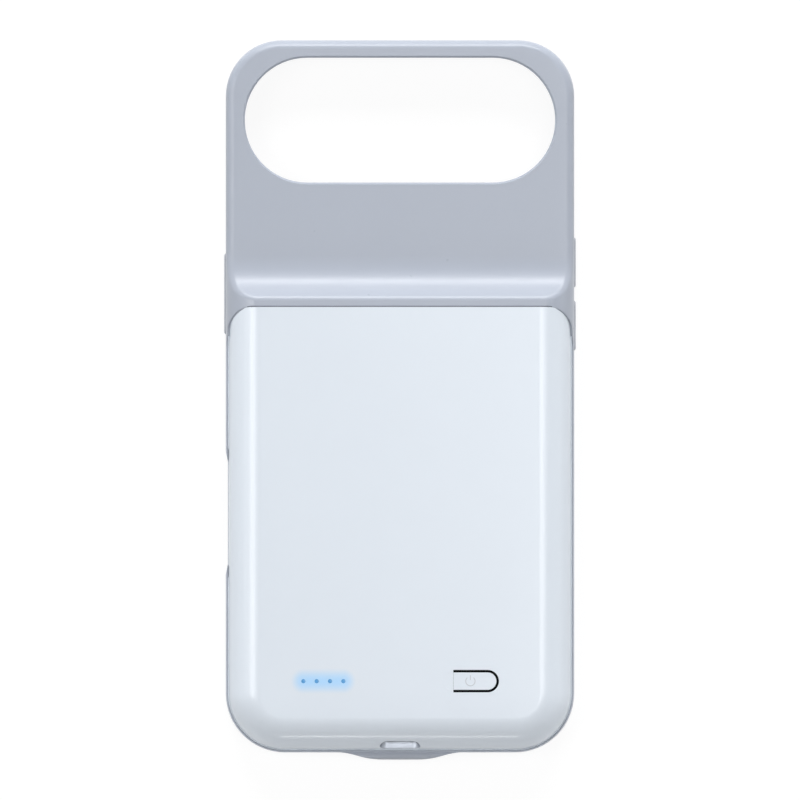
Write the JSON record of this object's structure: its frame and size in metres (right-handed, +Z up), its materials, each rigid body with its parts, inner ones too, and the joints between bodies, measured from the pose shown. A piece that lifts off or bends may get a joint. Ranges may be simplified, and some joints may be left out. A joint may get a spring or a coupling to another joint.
{
  "type": "battery charging case",
  "caption": "Battery charging case: soft bumper frame with a wide lens window and a ramp up to a glossy rounded power pack with a push tongue, charge lights and a charging port.",
  "frame": {"origin": "middle of the footprint, on the plane of the front lip that the case lies on", "axes": "+Z up through the back of the pack; +Y along the case towards the lens window; +X across it, to the right when the back is looked at with the window at the top"},
  "size_m": [0.0794, 0.1624, 0.0142],
  "materials": {
    "frame_soft": "satin",
    "cover_gloss": "gloss",
    "tray_plastic": "satin",
    "cell_wrap": "satin",
    "nickel_tab": "satin",
    "board_green": "satin",
    "wire_red": "satin",
    "wire_black": "satin",
    "adhesive": "matte",
    "foam": "matte",
    "chip_black": "matte",
    "ferrite": "matte",
    "capacitor_tan": "satin",
    "led_blue": "gloss",
    "guide_blue": "gloss",
    "switch_black": "matte",
    "button_gloss": "gloss",
    "gasket_black": "matte",
    "plug_steel": "satin",
    "contact_gold": "satin",
    "liner_black": "matte",
    "flex_amber": "satin",
    "key_soft": "satin"
  },
  "bodies": {
    "case": {"bumper_frame": "frame_soft", "back_cover": "cover_gloss", "mid_plate": "tray_plastic", "battery_cell": "cell_wrap", "cell_tabs": "nickel_tab", "protection_board": "board_green", "lead_positive": "wire_red", "lead_negative": "wire_black", "cell_adhesive": "adhesive", "cell_foam": "foam", "main_board": "board_green", "charge_chip": "chip_black", "boost_inductor": "ferrite", "board_capacitors": "capacitor_tan", "indicator_leds": "led_blue", "light_guide": "guide_blue", "tact_switch": "switch_black", "button_gasket": "gasket_black", "charge_port_shell": "plug_steel", "charge_port_tongue": "liner_black", "charge_port_contacts": "contact_gold", "plug_shell": "plug_steel", "plug_liner": "liner_black", "plug_contacts": "contact_gold", "plug_carrier": "tray_plastic", "plug_board": "board_green", "flat_cable": "flex_amber"},
    "power_button": {"power_button": "button_gloss"},
    "switch_plunger": {"switch_plunger": "switch_black"},
    "side_key": {"side_key": "key_soft"},
    "volume_up_key": {"volume_up_key": "key_soft"},
    "volume_down_key": {"volume_down_key": "key_soft"}
  },
  "joints": [
    {"name": "power_press", "type": "hinge", "parent": "case", "child": "power_button", "pos_m": [0.012, -0.0633, 0.01355], "axis": [0, 1, 0], "range_deg": [0, 2], "stiffness_Nm_per_rad": 0.4},
    {"name": "plunger_press", "type": "slide", "parent": "case", "child": "switch_plunger", "axis": [0, 0, -1], "range_m": [0, 0.00025]},
    {"name": "side_key_press", "type": "slide", "parent": "case", "child": "side_key", "axis": [1, 0, 0], "range_m": [0, 0.0003], "stiffness_N_per_m": 3000},
    {"name": "volume_up_press", "type": "slide", "parent": "case", "child": "volume_up_key", "axis": [-1, 0, 0], "range_m": [0, 0.0003], "stiffness_N_per_m": 3000},
    {"name": "volume_down_press", "type": "slide", "parent": "case", "child": "volume_down_key", "axis": [-1, 0, 0], "range_m": [0, 0.0003], "stiffness_N_per_m": 3000}
  ],
  "couplings": [
    {"joint": "plunger_press", "follows": "power_press", "m_per_rad": 0.007}
  ]
}
